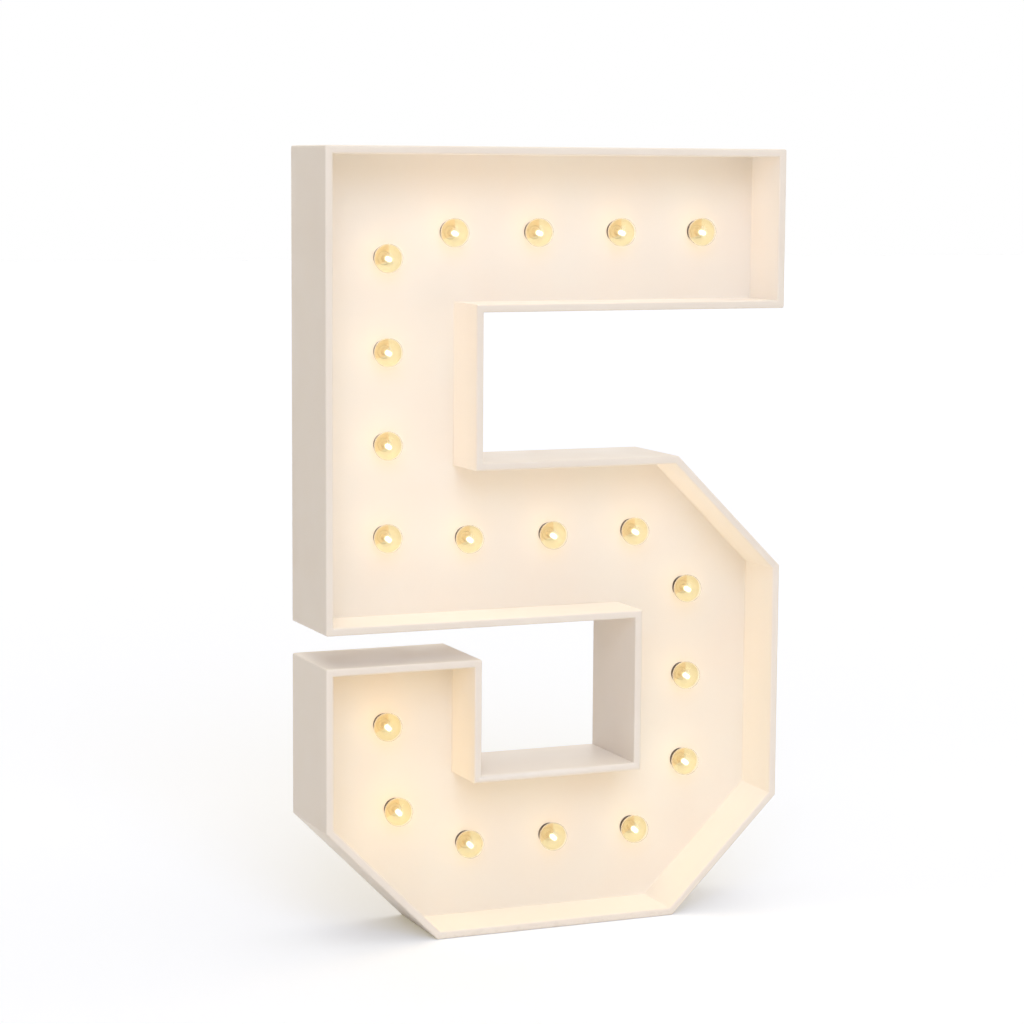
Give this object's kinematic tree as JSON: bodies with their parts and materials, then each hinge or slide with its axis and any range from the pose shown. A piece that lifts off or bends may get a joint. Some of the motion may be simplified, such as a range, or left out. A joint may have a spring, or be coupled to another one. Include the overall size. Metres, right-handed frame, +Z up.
{
  "type": "light up marquee number",
  "caption": "Free-standing boxed numeral lamp with a recessed face, golf-ball bulbs in holders and a switched mains inlet at the back.",
  "frame": {"origin": "on the floor, under the middle of the case", "axes": "+Z up along the number's height; the lit front faces -Y and the rear cover faces +Y; +X to the right seen from the front"},
  "size_m": [0.768, 0.16, 1.22],
  "materials": {
    "case_paint": "satin white paint on board",
    "face_paint": "satin white paint on board",
    "cover_paint": "matt white paint on thin board",
    "bulb_glass": "clear warm glass, lit",
    "holder_plastic": "moulded, dark brown",
    "cable_rubber": "black sheathed cable",
    "inlet_plastic": "moulded, black",
    "rocker_plastic": "polished, black"
  },
  "bodies": {
    "case": {"wall_top": "case_paint", "wall_top_arm_end": "case_paint", "wall_top_arm_underside": "case_paint", "wall_stem_inner": "case_paint", "wall_bowl_top": "case_paint", "wall_bowl_upper_chamfer": "case_paint", "wall_bowl_side": "case_paint", "wall_bowl_lower_chamfer": "case_paint", "wall_base": "case_paint", "wall_base_chamfer": "case_paint", "wall_lower_arm_end": "case_paint", "wall_lower_arm_top": "case_paint", "wall_lower_arm_inner": "case_paint", "wall_counter_floor": "case_paint", "wall_counter_side": "case_paint", "wall_middle_underside": "case_paint", "wall_stem_outer": "case_paint", "face_panel": "face_paint", "rear_cover": "cover_paint", "wiring_harness": "cable_rubber", "mains_inlet": "inlet_plastic", "lampholder_01": "holder_plastic", "lampholder_02": "holder_plastic", "lampholder_03": "holder_plastic", "lampholder_04": "holder_plastic", "lampholder_05": "holder_plastic", "lampholder_06": "holder_plastic", "lampholder_07": "holder_plastic", "lampholder_08": "holder_plastic", "lampholder_09": "holder_plastic", "lampholder_10": "holder_plastic", "lampholder_11": "holder_plastic", "lampholder_12": "holder_plastic", "lampholder_13": "holder_plastic", "lampholder_14": "holder_plastic", "lampholder_15": "holder_plastic", "lampholder_16": "holder_plastic", "lampholder_17": "holder_plastic", "lampholder_18": "holder_plastic", "lampholder_19": "holder_plastic"},
    "power_rocker": {"power_rocker": "rocker_plastic"},
    "bulb_01": {"bulb_01": "bulb_glass"},
    "bulb_02": {"bulb_02": "bulb_glass"},
    "bulb_03": {"bulb_03": "bulb_glass"},
    "bulb_04": {"bulb_04": "bulb_glass"},
    "bulb_05": {"bulb_05": "bulb_glass"},
    "bulb_06": {"bulb_06": "bulb_glass"},
    "bulb_07": {"bulb_07": "bulb_glass"},
    "bulb_08": {"bulb_08": "bulb_glass"},
    "bulb_09": {"bulb_09": "bulb_glass"},
    "bulb_10": {"bulb_10": "bulb_glass"},
    "bulb_11": {"bulb_11": "bulb_glass"},
    "bulb_12": {"bulb_12": "bulb_glass"},
    "bulb_13": {"bulb_13": "bulb_glass"},
    "bulb_14": {"bulb_14": "bulb_glass"},
    "bulb_15": {"bulb_15": "bulb_glass"},
    "bulb_16": {"bulb_16": "bulb_glass"},
    "bulb_17": {"bulb_17": "bulb_glass"},
    "bulb_18": {"bulb_18": "bulb_glass"},
    "bulb_19": {"bulb_19": "bulb_glass"}
  },
  "joints": [
    {"name": "power_rocker_tilt", "type": "hinge", "parent": "case", "child": "power_rocker", "pos_m": [0.09625, 0.0718, 0.1372], "axis": [-1, 0, 0], "range_deg": [0, 20]},
    {"name": "bulb_01_removal", "type": "slide", "parent": "case", "child": "bulb_01", "axis": [0, -1, 0], "range_m": [0, 0.13]},
    {"name": "bulb_02_removal", "type": "slide", "parent": "case", "child": "bulb_02", "axis": [0, -1, 0], "range_m": [0, 0.13]},
    {"name": "bulb_03_removal", "type": "slide", "parent": "case", "child": "bulb_03", "axis": [0, -1, 0], "range_m": [0, 0.13]},
    {"name": "bulb_04_removal", "type": "slide", "parent": "case", "child": "bulb_04", "axis": [0, -1, 0], "range_m": [0, 0.13]},
    {"name": "bulb_05_removal", "type": "slide", "parent": "case", "child": "bulb_05", "axis": [0, -1, 0], "range_m": [0, 0.13]},
    {"name": "bulb_06_removal", "type": "slide", "parent": "case", "child": "bulb_06", "axis": [0, -1, 0], "range_m": [0, 0.13]},
    {"name": "bulb_07_removal", "type": "slide", "parent": "case", "child": "bulb_07", "axis": [0, -1, 0], "range_m": [0, 0.13]},
    {"name": "bulb_08_removal", "type": "slide", "parent": "case", "child": "bulb_08", "axis": [0, -1, 0], "range_m": [0, 0.13]},
    {"name": "bulb_09_removal", "type": "slide", "parent": "case", "child": "bulb_09", "axis": [0, -1, 0], "range_m": [0, 0.13]},
    {"name": "bulb_10_removal", "type": "slide", "parent": "case", "child": "bulb_10", "axis": [0, -1, 0], "range_m": [0, 0.13]},
    {"name": "bulb_11_removal", "type": "slide", "parent": "case", "child": "bulb_11", "axis": [0, -1, 0], "range_m": [0, 0.13]},
    {"name": "bulb_12_removal", "type": "slide", "parent": "case", "child": "bulb_12", "axis": [0, -1, 0], "range_m": [0, 0.13]},
    {"name": "bulb_13_removal", "type": "slide", "parent": "case", "child": "bulb_13", "axis": [0, -1, 0], "range_m": [0, 0.13]},
    {"name": "bulb_14_removal", "type": "slide", "parent": "case", "child": "bulb_14", "axis": [0, -1, 0], "range_m": [0, 0.13]},
    {"name": "bulb_15_removal", "type": "slide", "parent": "case", "child": "bulb_15", "axis": [0, -1, 0], "range_m": [0, 0.13]},
    {"name": "bulb_16_removal", "type": "slide", "parent": "case", "child": "bulb_16", "axis": [0, -1, 0], "range_m": [0, 0.13]},
    {"name": "bulb_17_removal", "type": "slide", "parent": "case", "child": "bulb_17", "axis": [0, -1, 0], "range_m": [0, 0.13]},
    {"name": "bulb_18_removal", "type": "slide", "parent": "case", "child": "bulb_18", "axis": [0, -1, 0], "range_m": [0, 0.13]},
    {"name": "bulb_19_removal", "type": "slide", "parent": "case", "child": "bulb_19", "axis": [0, -1, 0], "range_m": [0, 0.13]}
  ]
}
